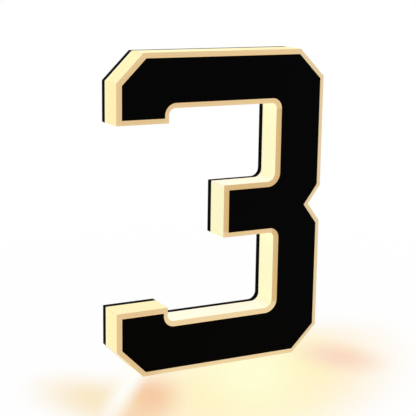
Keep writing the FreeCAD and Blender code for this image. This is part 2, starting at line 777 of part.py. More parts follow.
def jumper_wires(label, side):
    """One colour of the wires that feed the three arm bars from the stem's bar."""
    body = new_body(label, BAR_TOP_Y)
    inner_side = (1 + side) / 2
    radius = size.wire_bend_radius + size.wire_spacing * inner_side
    for name, bar, upper in (("Top", TOP_BAR, True), ("Bottom", BOTTOM_BAR, False)):
        begin, corner, finish = corner_route(bar, side, upper)
        pipe = body.newObject("PartDesign::AdditivePipe", f"{name}Wire")
        pipe.Profile = wire_section(body, f"{name}Section", begin[1], begin[0])
        pipe.Spine = (wire_path(body, f"{name}Path", begin, corner, finish, radius), [])
    level = HALF_HEIGHT + size.wire_spacing * (side / 2)
    begin = MIDDLE_BAR.end - size.wire_landing
    run = size.wire_landing + size.bar_end_gap + size.side_landing
    pad(body, "MiddleWire", wire_section(body, "MiddleSection", level, begin), run)
    return body


def terminal_ways():
    """Centres of the terminal's two ways, one above the other."""
    place = STEM_BAR.first_gap()
    half = size.terminal_pitch / 2
    return [(STEM_BAR_CENTRE, place - half), (STEM_BAR_CENTRE, place + half)]


def supply_terminal():
    """Two-way screw terminal on the stem's bar, its wire entries facing the grommet."""
    body = new_body("supply_terminal", BAR_TOP_Y)
    centre = [(STEM_BAR_CENTRE, STEM_BAR.first_gap())]
    block = rectangles(body, "Edge", centre, size.terminal_width, size.terminal_length)
    pad(body, "Block", block, size.terminal_height)
    wells = circles(
        body, "WellCircles", terminal_ways(), size.terminal_screw_diameter, size.terminal_height
    )
    pocket(body, "Wells", wells, size.terminal_well_depth, forward=False)
    side = STEM_BAR_CENTRE + size.terminal_width / 2
    entries = new_sketch(body, "EntryCircles", side, "YZ_Plane")
    for _, level in terminal_ways():
        radius = size.terminal_entry_diameter.value / 2
        low = size.terminal_entry_diameter
        circle = Part.Circle(Vector(level.value, low.value, 0), Vector(0, 0, 1), radius)
        index = entries.addGeometry(circle)
        place_point(entries, index, Point.CENTRE, level, low)
        constrain(entries, size.terminal_entry_diameter, "Diameter", index)
    pocket(body, "Entries", entries, size.terminal_entry_depth, forward=False)
    return body


def terminal_screws():
    """Clamp screws at the bottom of the terminal's wells."""
    floor = BAR_TOP_Y - size.terminal_height + size.terminal_well_depth
    body = new_body("terminal_screws", floor)
    rounds = circles(body, "Circles", terminal_ways(), size.terminal_screw_diameter)
    pad(body, "Screws", rounds, size.terminal_screw_length)
    slots = rectangles(
        body, "Slots", terminal_ways(), size.terminal_slot_width, size.terminal_slot_length,
        size.terminal_screw_length,
    )
    pocket(body, "SlotCuts", slots, size.terminal_slot_width, forward=False)
    return body


def cable_grommet():
    """Rubber grommet in the back plate, where a supply lead enters."""
    body = new_body("cable_grommet", PLATE_BACK_Y)
    centre = [grommet_centre()]
    neck = circles(body, "NeckCircle", centre, size.grommet_neck)
    pad(body, "Neck", neck, size.plate_thickness)
    outside = circles(body, "OutsideCircle", centre, size.grommet_flange, -size.grommet_lip)
    pad(body, "OutsideFlange", outside, size.grommet_lip)
    inside = circles(body, "InsideCircle", centre, size.grommet_flange, size.plate_thickness)
    pad(body, "InsideFlange", inside, size.grommet_lip)
    bore = circles(body, "BoreCircle", centre, size.grommet_bore, -size.grommet_lip)
    pocket(body, "Bore", bore, size.plate_thickness + size.grommet_lip * 2)
    return body


def check(bodies):
    """Stops unless every feature computed and every piece is a sound shape."""
    doc.recompute()
    for thing in doc.Objects:
        if "Invalid" in thing.State or "Error" in thing.State:
            raise RuntimeError(f"{thing.Name} failed: {thing.State}")
    for body in bodies:
        if body.Shape.isNull() or not body.Shape.isValid() or not body.Shape.Solids:
            raise RuntimeError(f"{body.Label} has no sound shape")


def main():
    bodies = [
        light_body(),
        face_plate(),
        face_film(),
        back_plate(),
        seal_ring(),
        back_screws(),
        screw_inserts(),
        wall_studs(),
        stud_washers(),
        stud_nuts(),
        wall_spacers(),
        *(led_bar(bar) for bar in BARS),
        *(led_chips(bar) for bar in BARS),
        bar_tapes(),
        bar_resistors(),
        jumper_wires("jumper_wires_red", side=1),
        jumper_wires("jumper_wires_black", side=-1),
        supply_terminal(),
        terminal_screws(),
        cable_grommet(),
    ]
    check(bodies)
    os.makedirs("parts", exist_ok=True)
    for body in bodies:
        body.Shape.exportStep(f"parts/{body.Label}.step")
        volume = round(body.Shape.Volume, 1)
        print(body.Label, len(body.Shape.Solids), "solids", volume, "mm3", body.Shape.BoundBox)


main()
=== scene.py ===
"""Illuminated house number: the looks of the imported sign, its floor, lamps and camera."""

import json
import math

import bpy
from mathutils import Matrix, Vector


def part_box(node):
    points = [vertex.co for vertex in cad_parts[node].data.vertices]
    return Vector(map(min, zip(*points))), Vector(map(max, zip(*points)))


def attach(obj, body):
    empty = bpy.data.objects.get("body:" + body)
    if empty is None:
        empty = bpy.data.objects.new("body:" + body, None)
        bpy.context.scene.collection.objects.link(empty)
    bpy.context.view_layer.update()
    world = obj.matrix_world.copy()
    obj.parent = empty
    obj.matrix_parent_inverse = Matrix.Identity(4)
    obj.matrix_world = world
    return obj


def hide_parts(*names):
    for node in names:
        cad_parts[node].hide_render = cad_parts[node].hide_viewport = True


bl_info = {
    "name": "Illuminated house number",
    "version": (1, 0, 0),
    "blender": (4, 5, 0),
    "location": "3D View > Sidebar > House number",
    "description": "Finishes the black, side-lit house number and sets its floor, lamps and camera",
    "category": "Object",
}

MM = 0.001
WHITE = (1.0, 1.0, 1.0)
UNLIT = (0.0, 0.0, 0.0)

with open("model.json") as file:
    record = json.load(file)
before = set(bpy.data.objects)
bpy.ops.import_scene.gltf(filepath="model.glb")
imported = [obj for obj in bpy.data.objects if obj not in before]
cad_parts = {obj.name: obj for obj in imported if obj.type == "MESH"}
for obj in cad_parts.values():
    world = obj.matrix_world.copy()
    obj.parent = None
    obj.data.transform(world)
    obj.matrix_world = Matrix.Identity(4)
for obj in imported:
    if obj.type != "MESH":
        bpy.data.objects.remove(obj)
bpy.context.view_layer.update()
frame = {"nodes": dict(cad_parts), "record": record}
HOUSING_LOW, HOUSING_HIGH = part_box("light_body")
_, PLATE_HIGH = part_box("back_plate")
NUT_LOW, NUT_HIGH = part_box("stud_nuts")
STUD_LOW, STUD_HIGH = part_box("wall_studs")
BAR_LOW, BAR_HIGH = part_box("led_bar_stem")
CHIP_LOW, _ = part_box("led_chips_stem")
STEM_CENTRE_X = (BAR_LOW.x + BAR_HIGH.x) / 2
STUD_MOUNT = next(m for m in frame["record"]["mounts"] if m["name"] == "wall_studs")
STUD_RADIUS = STUD_MOUNT["dims"]["stud_r_mm"] * MM


# ---- Shader maths --------------------------------------------------------------------


class Field:
    """A number that changes over a surface; arithmetic on it adds Math nodes."""

    def __init__(self, shader, socket):
        self.shader = shader
        self.socket = socket

    def maths(self, operation, *values):
        return self.shader.field("ShaderNodeMath", {"operation": operation}, dict(enumerate(values)))

    def __add__(self, other):
        return self.maths("ADD", self, other)

    def __radd__(self, other):
        return self.maths("ADD", other, self)

    def __sub__(self, other):
        return self.maths("SUBTRACT", self, other)

    def __rsub__(self, other):
        return self.maths("SUBTRACT", other, self)

    def __mul__(self, other):
        return self.maths("MULTIPLY", self, other)

    def __rmul__(self, other):
        return self.maths("MULTIPLY", other, self)

    def __truediv__(self, other):
        return self.maths("DIVIDE", self, other)

    def __rtruediv__(self, other):
        return self.maths("DIVIDE", other, self)

    def __abs__(self):
        return self.maths("ABSOLUTE", self)

    def root(self):
        return self.maths("SQRT", self)

    def sine(self):
        return self.maths("SINE", self)

    def higher_of(self, other):
        return self.maths("MAXIMUM", self, other)

    def rise(self, low, high, at_low=0.0, at_high=1.0):
        """Runs smoothly from at_low to at_high while the number goes from low to high."""
        settings = {"interpolation_type": "SMOOTHSTEP"}
        inputs = {
            "Value": self, "From Min": low, "From Max": high, "To Min": at_low, "To Max": at_high,
        }
        return self.shader.field("ShaderNodeMapRange", settings, inputs)

    def fall(self, low, high):
        """Runs smoothly from 1 to 0 while the number goes from low to high."""
        return self.rise(low, high, 1.0, 0.0)

    def between(self, low, high, soft):
        """1 from low to high, fading to 0 over the distance soft beyond each."""
        return self.rise(low - soft, low) * self.fall(high, high + soft)

    def near(self, place, full, gone):
        """1 up to the distance full from the place, 0 from the distance gone on."""
        return abs(self - place).fall(full, gone)


class Shader:
    """The node tree of a material or of the world."""

    # The Mix node's colour sockets, by number, because several of its sockets share a name.
    MIX_FACTOR, MIX_FIRST, MIX_SECOND, MIX_RESULT = 0, 6, 7, 2

    def __init__(self, owner, output="ShaderNodeOutputMaterial"):
        owner.use_nodes = True
        self.owner = owner
        self.tree = owner.node_tree
        self.tree.nodes.clear()
        self.output = self.node(output)

    def node(self, kind, settings=None, inputs=None):
        """Adds a node: its settings first, then the values or links of its sockets."""
        node = self.tree.nodes.new(kind)
        for name, value in (settings or {}).items():
            setattr(node, name, value)
        for key, value in (inputs or {}).items():
            socket = value.socket if isinstance(value, Field) else value
            if isinstance(socket, bpy.types.NodeSocket):
                self.tree.links.new(socket, node.inputs[key])
            else:
                node.inputs[key].default_value = socket
        return node

    def field(self, kind, settings=None, inputs=None):
        """The first output of a new node, as a number that changes over the surface."""
        return Field(self, self.node(kind, settings, inputs).outputs[0])

    def coordinates(self):
        return self.node("ShaderNodeTexCoord").outputs["Object"]

    def place(self):
        """The three Object coordinates, in metres."""
        split = self.node("ShaderNodeSeparateXYZ", inputs={"Vector": self.coordinates()})
        return tuple(Field(self, output) for output in split.outputs)

    def noise(self, size_mm, detail=2.0, roughness=0.5, stretch=(1.0, 1.0, 1.0)):
        """Cloudy noise from 0 to 1 whose lumps are about size_mm across."""
        mapping = {"Vector": self.coordinates(), "Scale": stretch}
        inputs = {
            "Vector": self.node("ShaderNodeMapping", inputs=mapping).outputs[0],
            "Scale": 1 / (size_mm * MM),
            "Detail": detail,
            "Roughness": roughness,
        }
        return self.field("ShaderNodeTexNoise", inputs=inputs)

    def mix(self, factor, first, second):
        """The colour first where factor is 0 and second where it is 1."""
        inputs = {
            self.MIX_FACTOR: factor, self.MIX_FIRST: opaque(first), self.MIX_SECOND: opaque(second),
        }
        return self.node("ShaderNodeMix", {"data_type": "RGBA"}, inputs).outputs[self.MIX_RESULT]

    def bump(self, height, depth_mm):
        inputs = {"Height": height, "Distance": depth_mm * MM, "Strength": 1.0}
        return self.node("ShaderNodeBump", inputs=inputs).outputs[0]

    def glow(self, colour):
        """A surface that only gives off the colour."""
        inputs = {"Color": opaque(colour), "Strength": 1.0}
        return self.node("ShaderNodeEmission", inputs=inputs)

    def blend(self, factor, first, second):
        """The surface first where factor is 0 and second where it is 1."""
        inputs = {0: factor, 1: first.outputs[0], 2: second.outputs[0]}
        return self.node("ShaderNodeMixShader", inputs=inputs)

    def show(self, surface):
        """Ends the tree with the surface and hands back what the tree belongs to."""
        self.tree.links.new(surface.outputs[0], self.output.inputs["Surface"])
        return self.owner

    def finish(self, **sockets):
        """A Principled surface; underscores in the names stand for spaces."""
        inputs = {name.replace("_", " "): value for name, value in sockets.items()}
        return self.show(self.node("ShaderNodeBsdfPrincipled", inputs=inputs))


def new_material(name):
    return Shader(bpy.data.materials.new(name))


def opaque(colour):
    """The colour with full alpha; a socket that gives a colour stays as it is."""
    return colour if isinstance(colour, bpy.types.NodeSocket) else (*colour[:3], 1.0)


def darker(colour, factor):
    """The colour with each channel times the factor."""
    return tuple(channel * factor for channel in colour[:3])


# ---- Finishes ------------------------------------------------------------------------


def wall_glow(shader, colours, edges, across, deep, up):
    """Light of the walls: paler behind and in the counters, with painted light on the upward walls in
    the counters and painted shade on the upward tops.
    """
    rear_fade, inner_start, inner_full = 4.0 * MM, -45.0 * MM, -22.0 * MM
    flat, short_fade, shelf_fade, end_fade = 0.3 * MM, 1.0 * MM, 3.0 * MM, 8.0 * MM
    # Share of the wall glow left on the upward tops, where shade is painted.
    painted_shade_share = 0.9

    rear = deep.rise(HOUSING_HIGH.y - rear_fade, HOUSING_HIGH.y)
    inner = across.rise(inner_start, inner_full)
    floor = up.near(edges.floor_level, flat, shelf_fade)
    middle = up.near(edges.middle_level, flat, shelf_fade)
    shelf = floor.higher_of(middle) * across.between(edges.lobe_side, edges.stem_side, end_fade)
    lobe = up.near(edges.lobe_level, flat, short_fade)
    lobe = lobe * across.fall(edges.lobe_side, edges.lobe_side + short_fade)
    crown = up.rise(HOUSING_HIGH.z - short_fade, HOUSING_HIGH.z - flat)

    glow = shader.mix(rear.higher_of(inner), colours.wall_glow, colours.pale_glow)
    # Painted light: the upward walls in the counters take a paler glow that stands in for light from
    # above.
    glow = shader.mix(shelf, glow, colours.shelf_glow_and_painted_light)
    # Painted shade: the top of the sign and the lower lobe's top glow darker, by the way they face.
    return shader.mix(crown.higher_of(lobe), glow, darker(colours.wall_glow, painted_shade_share))


def rim_glow(shader, colours, edges, across, up):
    """Light of the rim: dimmer round the counters as painted shade, lighter low down as painted light
    from the floor, and lighter at the right.
    """
    before, past, soft = 0.5 * MM, 4.0 * MM, 1.0 * MM
    low_full, low_gone, low_left, low_right, low_fade = (
        edge * MM for edge in (34.0, 44.0, -35.0, 50.0, 15.0)
    )
    right_start, right_full = 45.0 * MM, 60.0 * MM
    left_share = 0.93

    def region(x_low, x_high, z_low, z_high):
        return across.between(x_low, x_high, soft) * up.between(z_low, z_high, soft)

    # Painted shade: the rim beside the stem, at the middle stroke's free end and along its top glows
    # dimmer.
    stem = region(
        edges.stem_side - before, edges.stem_side + past,
        edges.floor_level + past, HOUSING_HIGH.z - edges.floor_level - past,
    )
    end = region(
        edges.middle_end - before, edges.middle_end + past,
        edges.middle_low + past, edges.middle_level + before,
    )
    top = region(
        edges.middle_end - before, edges.stem_side + past,
        edges.middle_level - past, edges.middle_level + before,
    )
    low = up.fall(low_full, low_gone) * across.between(low_left, low_right, low_fade)
    side = across.rise(HOUSING_LOW.x, HOUSING_HIGH.x)

    glow = shader.mix(side, darker(colours.rim_glow, left_share), colours.rim_glow)
    glow = shader.mix(across.rise(right_start, right_full), glow, colours.right_rim_glow)
    glow = shader.mix(low, glow, colours.low_rim_glow)
    # The rim round the counters takes the dimmer glow of painted shade.
    return shader.mix(stem.higher_of(end).higher_of(top), glow, colours.painted_shade_rim_glow)


def lit_opal_finish(colours, edges):
    """Opal acrylic lit from inside: cream walls and a deeper rim in front."""
    shader = new_material("lit_opal")
    across, deep, up = shader.place()
    rim_edge, blur = HOUSING_LOW.y + colours.rim_depth, 0.1 * MM
    in_rim = deep.fall(rim_edge - blur, rim_edge + blur)
    cloud = shader.noise(size_mm=38.0, detail=1.0)
    grain = shader.noise(size_mm=0.6, detail=3.0)
    wall = shader.mix(cloud, darker(colours.wall, 0.96), colours.wall)
    rim = shader.mix(cloud, darker(colours.rim, 0.95), colours.rim)
    wall_light = wall_glow(shader, colours, edges, across, deep, up)
    rim_light = rim_glow(shader, colours, edges, across, up)
    return shader.finish(
        Base_Color=shader.mix(in_rim, wall, rim),
        Roughness=0.34 + grain * 0.12,
        Normal=shader.bump(grain, depth_mm=0.02),
        Emission_Color=shader.mix(in_rim, wall_light, rim_light),
        Emission_Strength=1.0,
        Specular_IOR_Level=0.25,
    )


def black_sheet_finish(name, colour, grain_mm, roughness, sheen):
    """Matte black sheet with the faint tooth of its film."""
    shader = new_material(name)
    tooth = shader.noise(grain_mm, detail=4.0, roughness=0.6)
    cloud = shader.noise(size_mm=24.0)
    return shader.finish(
        Base_Color=shader.mix(cloud, darker(colour, 0.75), colour),
        Roughness=roughness - 0.05 + tooth * 0.1,
        Normal=shader.bump(tooth, depth_mm=0.008),
        Specular_IOR_Level=sheen,
    )


def rubber_finish(name, colour):
    """Dull rubber with lighter clouds of bloom."""
    shader = new_material(name)
    grain = shader.noise(size_mm=0.5, detail=3.0)
    cloud = shader.noise(size_mm=4.0)
    bloom = tuple(channel * gain for channel, gain in zip(colour, (1.5, 1.5, 1.45)))
    return shader.finish(
        Base_Color=shader.mix(cloud, colour, bloom),
        Roughness=0.62 + grain * 0.16,
        Normal=shader.bump(grain, depth_mm=0.03),
        Specular_IOR_Level=0.35,
    )


def metal_finish(name, colour, roughness, ring_mm=None):
    """Slightly tarnished metal, with fine turned rings round axes square to the wall."""
    shader = new_material(name)
    _, deep, _ = shader.place()
    relief = scratches = shader.noise(size_mm=1.2, detail=4.0, stretch=(1.0, 6.0, 1.0))
    if ring_mm:
        rings = (deep * (math.tau / (ring_mm * MM))).sine()
        relief = (scratches + rings) * 0.5
    tarnish = shader.noise(size_mm=5.0, detail=3.0)
    return shader.finish(
        Base_Color=shader.mix(tarnish, darker(colour, 0.82), colour),
        Metallic=1.0,
        Roughness=roughness + scratches * 0.12,
        Normal=shader.bump(relief, depth_mm=0.01),
    )


def circuit_finish():
    """White solder mask; two tracks along the stem's bar show faintly under it."""
    grey_mask, white_mask, track_tone = (0.78, 0.79, 0.76), (0.86, 0.87, 0.84), (0.62, 0.6, 0.5)
    track_start, track_end, track_edge = 2.4 * MM, 2.9 * MM, 0.1 * MM
    skin, skin_end, cover = 0.02 * MM, 0.05 * MM, 0.5

    shader = new_material("circuit_board")
    across, deep, _ = shader.place()
    track = abs(across - STEM_CENTRE_X).between(track_start, track_end, track_edge)
    track = track * deep.fall(BAR_LOW.y + skin, BAR_LOW.y + skin_end)
    cloud = shader.noise(size_mm=3.0)
    return shader.finish(
        Base_Color=shader.mix(track * cover, shader.mix(cloud, grey_mask, white_mask), track_tone),
        Roughness=0.3 + cloud * 0.1,
        Normal=shader.bump(track, depth_mm=0.035),
    )


def led_finish(light):
    """White LED package round a yellow phosphor window that shines."""
    package, phosphor = (0.85, 0.84, 0.8), (0.9, 0.66, 0.14)
    window_full, window_end = 0.03 * MM, 0.06 * MM

    shader = new_material("led_package")
    _, deep, _ = shader.place()
    window = deep.fall(CHIP_LOW.y + window_full, CHIP_LOW.y + window_end)
    grain = shader.noise(size_mm=0.3)
    return shader.finish(
        Base_Color=shader.mix(window, package, phosphor),
        Roughness=0.38 + grain * 0.1,
        Emission_Color=shader.mix(window, UNLIT, light),
        Emission_Strength=1.0,
        Normal=shader.bump(grain, depth_mm=0.01),
    )


def plastic_finish(name, colour, roughness, grain_mm=0.8):
    """Moulded plastic or insulation: even colour with a slight mottle and tooth."""
    shader = new_material(name)
    mottle = shader.noise(size_mm=3.0, detail=3.0)
    grain = shader.noise(grain_mm)
    return shader.finish(
        Base_Color=shader.mix(mottle, darker(colour, 0.84), colour),
        Roughness=roughness + grain * 0.12,
        Normal=shader.bump(grain, depth_mm=0.015),
    )


# ---- Modelling helpers ---------------------------------------------------------------


def deselect_all():
    if bpy.context.object and bpy.context.object.mode != "OBJECT":
        bpy.ops.object.mode_set(mode="OBJECT")
    bpy.ops.object.select_all(action="DESELECT")


def pick(*pieces):
    """Selects the pieces alone and makes the first of them active."""
    deselect_all()
    for piece in pieces:
        piece.select_set(True)
    bpy.context.view_layer.objects.active = pieces[0]


def settle():
    """Applies the place, turn and size of what is selected to its mesh."""
    bpy.ops.object.transform_apply(location=True, rotation=True, scale=True)


def apply_modifiers(piece):
    pick(piece)
    for modifier in list(piece.modifiers):
        bpy.ops.object.modifier_apply(modifier=modifier.name)


def edit_all():
    """Opens the active piece in edit mode with all of its mesh selected."""
    bpy.ops.object.mode_set(mode="EDIT")
    bpy.ops.mesh.select_all(action="SELECT")


def close_outwards():
    """Turns every face of the open piece outwards and leaves edit mode."""
    bpy.ops.mesh.select_all(action="SELECT")
    bpy.ops.mesh.normals_make_consistent(inside=False)
    bpy.ops.object.mode_set(mode="OBJECT")


def turned(rings, sides=32):
    """A solid round the Y axis, extruded from each (y, radius) ring to the next."""
    (y, radius), *rest = rings
    deselect_all()
    bpy.ops.mesh.primitive_circle_add(
        vertices=sides, radius=radius, fill_type="NGON",
        location=(0.0, y, 0.0), rotation=(math.radians(90), 0.0, 0.0),
    )
    solid = bpy.context.object
    settle()
    edit_all()
    for next_y, next_radius in rest:
        bpy.ops.mesh.extrude_region_move(TRANSFORM_OT_translate={"value": (0.0, next_y - y, 0.0)})
        grow = next_radius / radius
        bpy.ops.transform.resize(value=(grow, 1.0, grow), center_override=(0.0, next_y, 0.0))
        y, radius = next_y, next_radius
    close_outwards()
    return solid


def cut(piece, operation, tool):
    """Intersects the piece with the tool or takes the tool away from it; the tool goes."""
    modifier = piece.modifiers.new(operation.title(), "BOOLEAN")
    modifier.operation = operation
    modifier.object = tool
    modifier.solver = "EXACT"
    apply_modifiers(piece)
    bpy.data.objects.remove(tool)


def join(name, pieces):
    """Makes one named object of the pieces, with its origin at the frame's."""
    pick(*pieces)
    bpy.ops.object.join()
    whole = bpy.context.object
    whole.name = name
    whole.data.name = name
    settle()
    return whole


def dress(piece, material):
    """Gives a piece its only finish."""
    piece.data.materials.clear()
    piece.data.materials.append(material)


def dress_nodes(material, *nodes):
    """Gives CAD nodes one finish."""
    for node in nodes:
        dress(frame["nodes"][node], material)


def stud_centres():
    """Where the four studs stand, seen from the front: X and Z of each."""
    middle = Vector(STUD_MOUNT["pos_m"])
    half_x = STUD_MOUNT["dims"]["spacing_x_mm"] * MM / 2
    half_z = STUD_MOUNT["dims"]["spacing_y_mm"] * MM / 2
    return [
        (middle.x + across * half_x, middle.z + up * half_z) for across in (-1, 1) for up in (-1, 1)
    ]


def radius_at_stud(high):
    """Half the width of what stands on the studs, from the high corner of its box."""
    return high.x - max(x for x, _ in stud_centres())


def copies(piece, name):
    """One copy of the piece at each stud, each with its own mesh, joined."""
    made = []
    for x, z in stud_centres():
        pick(piece)
        bpy.ops.object.duplicate()
        twin = bpy.context.object
        twin.location = (x, 0.0, z)
        made.append(twin)
    bpy.data.objects.remove(piece)
    return join(name, made)


# ---- Settings ------------------------------------------------------------------------


def colour_setting(**settings):
    return bpy.props.FloatVectorProperty(subtype="COLOR", min=0.0, max=1.0, **settings)


def length_setting(**settings):
    return bpy.props.FloatProperty(unit="LENGTH", **settings)


class SignColours(bpy.types.PropertyGroup):
    """Colours of the face, the back plate and the lit housing, as linear values."""

    wall: colour_setting(
        name="Wall", description="Opal side walls by daylight", default=(0.52, 0.51, 0.47)
    )
    wall_glow: colour_setting(
        name="Wall glow", description="Light that the side walls give off",
        default=(0.745, 0.616, 0.237),
    )
    pale_glow: colour_setting(
        name="Pale glow", description="Light that the walls give off at the back and in the counters",
        default=(0.705, 0.67, 0.365),
    )
    # Glow of the upward counter walls with painted light from above added to it.
    shelf_glow_and_painted_light: colour_setting(
        name="Shelf glow", description="Light that the upward walls in the counters give off",
        default=(0.735, 0.63, 0.465),
    )
    rim: colour_setting(name="Rim", description="Front rim by daylight", default=(0.5, 0.38, 0.22))
    rim_glow: colour_setting(
        name="Rim glow", description="Light that the front rim gives off", default=(0.565, 0.402, 0.205)
    )
    # Rim glow with painted shade, for the rim round the counters.
    painted_shade_rim_glow: colour_setting(
        name="Inner rim glow",
        description="Light of the rim beside the stem and round the middle stroke",
        default=(0.451, 0.298, 0.127),
    )
    low_rim_glow: colour_setting(
        name="Low rim glow",
        description="Light of the rim along the bottom stroke, which the floor lights",
        default=(0.605, 0.465, 0.262),
    )
    right_rim_glow: colour_setting(
        name="Right rim glow", description="Light of the rim on the right",
        default=(0.515, 0.402, 0.238),
    )
    rim_depth: length_setting(
        name="Rim depth", description="Housing front to the end of the rim's own colour",
        default=0.8 * MM, min=0.0, max=3.0 * MM,
    )
    black: colour_setting(
        name="Black", description="Face and back plate", default=(0.0016, 0.0016, 0.0017)
    )


class FigureEdges(bpy.types.PropertyGroup):
    """Edges of the figure that the glow follows: X or Z in the frame."""

    lobe_side: length_setting(
        name="Lobe side", description="Inner side of the lobes", default=-37.3 * MM
    )
    middle_end: length_setting(
        name="Middle end", description="Free end of the middle stroke", default=1.0 * MM
    )
    stem_side: length_setting(
        name="Stem side", description="Left side of the stem", default=37.5 * MM
    )
    floor_level: length_setting(
        name="Floor level", description="Top of the bottom stroke", default=33.4 * MM
    )
    lobe_level: length_setting(
        name="Lobe level", description="Top of the lower lobe", default=42.5 * MM
    )
    middle_low: length_setting(
        name="Middle underside", description="Underside of the middle stroke", default=83.3 * MM
    )
    middle_level: length_setting(
        name="Middle level", description="Top of the middle stroke", default=116.7 * MM
    )


class PieceColours(bpy.types.PropertyGroup):
    """Colours of the small pieces behind the face, as linear values."""

    film: colour_setting(name="Film", description="Adhesive under the face", default=(0.8, 0.8, 0.77))
    tape: colour_setting(name="Tape", description="Thermal tape", default=(0.62, 0.65, 0.68))
    resistor: colour_setting(name="Resistor", description="Its glaze", default=(0.03, 0.03, 0.032))
    red_wire: colour_setting(name="Red wire", description="Its insulation", default=(0.5, 0.02, 0.015))
    black_wire: colour_setting(
        name="Black wire", description="Its insulation", default=(0.015, 0.015, 0.016)
    )
    terminal: colour_setting(name="Terminal", description="Its housing", default=(0.04, 0.26, 0.1))
    seal: colour_setting(name="Seal", description="Rubber cord", default=(0.03, 0.03, 0.03))
    grommet: colour_setting(
        name="Grommet", description="Rubber round the lead's hole", default=(0.012, 0.012, 0.012)
    )
    steel: colour_setting(
        name="Steel", description="Screws, washers, studs and nuts", default=(0.56, 0.55, 0.53)
    )
    brass: colour_setting(name="Brass", description="Thread inserts", default=(0.78, 0.57, 0.25))
    aluminium: colour_setting(
        name="Aluminium", description="Wall spacers", default=(0.72, 0.73, 0.74)
    )


class StudSizes(bpy.types.PropertyGroup):
    """Thread and nut details that the solids leave plain."""

    pitch: length_setting(
        name="Pitch", description="Thread pitch of the studs",
        default=0.7 * MM, min=0.2 * MM, max=2.0 * MM,
    )
    thread_depth: length_setting(
        name="Thread depth", description="Depth of the studs' thread",
        default=0.4 * MM, min=0.1 * MM, max=1.0 * MM,
    )
    tip_chamfer: length_setting(
        name="Tip chamfer", description="Chamfer at the studs' free end",
        default=0.5 * MM, min=0.0, max=1.5 * MM,
    )
    nut_chamfer: bpy.props.FloatProperty(
        name="Nut chamfer", description="Chamfer at the nut's corners", subtype="ANGLE",
        default=math.radians(30.0), min=math.radians(5.0), max=math.radians(60.0),
    )


class StageSettings(bpy.types.PropertyGroup):
    """Painted floor glow, lamps and camera."""

    camera_place: bpy.props.FloatVectorProperty(
        name="Camera", description="Where the camera stands", subtype="XYZ", unit="LENGTH",
        default=(-0.3328, -0.6294, 0.2536),
    )
    camera_turn: bpy.props.FloatVectorProperty(
        name="Camera turn", description="Tilt, roll and swing of the camera", subtype="EULER",
        default=tuple(math.radians(turn) for turn in (77.845, -0.811, -27.376)),
    )
    camera_lens: bpy.props.FloatProperty(
        name="Lens", description="Focal length", unit="CAMERA", default=99.7, min=20.0, max=300.0
    )
    lamp_power: bpy.props.FloatProperty(
        name="Lamp power", description="Power that each lamp takes its share of", unit="POWER",
        default=4.5, min=0.0,
    )
    sky: bpy.props.FloatProperty(
        name="Sky", description="How much the white surroundings light the sign",
        default=0.3, min=0.0, max=2.0,
    )
    # Colours of the sign's light painted on the floor as soft patches.
    spread_glow: colour_setting(
        name="Spread glow", description="Floor round the edge of the glow", default=(1.0, 0.74, 0.34)
    )
    core_glow: colour_setting(
        name="Core glow", description="Floor in the middle of the glow", default=(1.0, 1.0, 0.67)
    )
    left_glow: colour_setting(
        name="Left streak", description="Warm streak at the left corner", default=(0.9, 0.5, 0.27)
    )
    right_glow: colour_setting(
        name="Right streak", description="Warm streak at the right corner", default=(0.96, 0.7, 0.54)
    )
    edge_glow: colour_setting(
        name="Left edge", description="Floor left of the sign", default=(0.96, 0.81, 0.57)
    )
    corner_glow: colour_setting(
        name="Corner streak", description="Bright streak in front of the left corner",
        default=(1.0, 1.0, 0.95),
    )


# ---- Operators -----------------------------------------------------------------------


class SIGN_OT_housing(bpy.types.Operator):
    """Finish the lit opal housing and its adhesive film"""

    bl_idname = "house_number.housing"
    bl_label = "Lit housing"

    def execute(self, context):
        scene = context.scene
        dress_nodes(lit_opal_finish(scene.sign_colours, scene.figure_edges), "light_body")
        film = plastic_finish("adhesive_film", scene.piece_colours.film, roughness=0.25)
        dress_nodes(film, "face_film")
        return {"FINISHED"}


class SIGN_OT_black_sheets(bpy.types.Operator):
    """Finish the black face and the black back plate"""

    bl_idname = "house_number.black_sheets"
    bl_label = "Face and back plate"

    def execute(self, context):
        black = context.scene.sign_colours.black
        face = black_sheet_finish("black_face", black, grain_mm=0.35, roughness=0.5, sheen=0.02)
        plate = black_sheet_finish("black_plate", black, grain_mm=0.9, roughness=0.55, sheen=0.01)
        dress_nodes(face, "face_plate")
        dress_nodes(plate, "back_plate")
        return {"FINISHED"}


class SIGN_OT_rubber(bpy.types.Operator):
    """Finish the seal cord and the cable grommet"""

    bl_idname = "house_number.rubber"
    bl_label = "Seal and grommet"

    def execute(self, context):
        colours = context.scene.piece_colours
        dress_nodes(rubber_finish("seal_rubber", colours.seal), "seal_ring")
        dress_nodes(rubber_finish("grommet_rubber", colours.grommet), "cable_grommet")
        return {"FINISHED"}


class SIGN_OT_light_engine(bpy.types.Operator):
    """Finish the LED bars, packages, tapes, wires and terminal"""

    bl_idname = "house_number.light_engine"
    bl_label = "Light engine"

    def execute(self, context):
        strokes = ("top", "middle", "bottom", "stem")
        dress_nodes(circuit_finish(), *(f"led_bar_{stroke}" for stroke in strokes))
        led = led_finish(context.scene.sign_colours.wall_glow)
        dress_nodes(led, *(f"led_chips_{stroke}" for stroke in strokes))
        colours = context.scene.piece_colours
        # CAD node, finish, its colour, roughness, grain in mm
        for node, name, colour, roughness, grain_mm in (
            ("bar_tapes", "thermal_tape", colours.tape, 0.5, 0.4),
            ("bar_resistors", "resistor_glaze", colours.resistor, 0.25, 0.2),
            ("jumper_wires_red", "wire_red", colours.red_wire, 0.32, 0.3),
            ("jumper_wires_black", "wire_black", colours.black_wire, 0.32, 0.3),
            ("supply_terminal", "terminal_green", colours.terminal, 0.36, 0.5),
        ):
            dress_nodes(plastic_finish(name, colour, roughness, grain_mm), node)
        return {"FINISHED"}


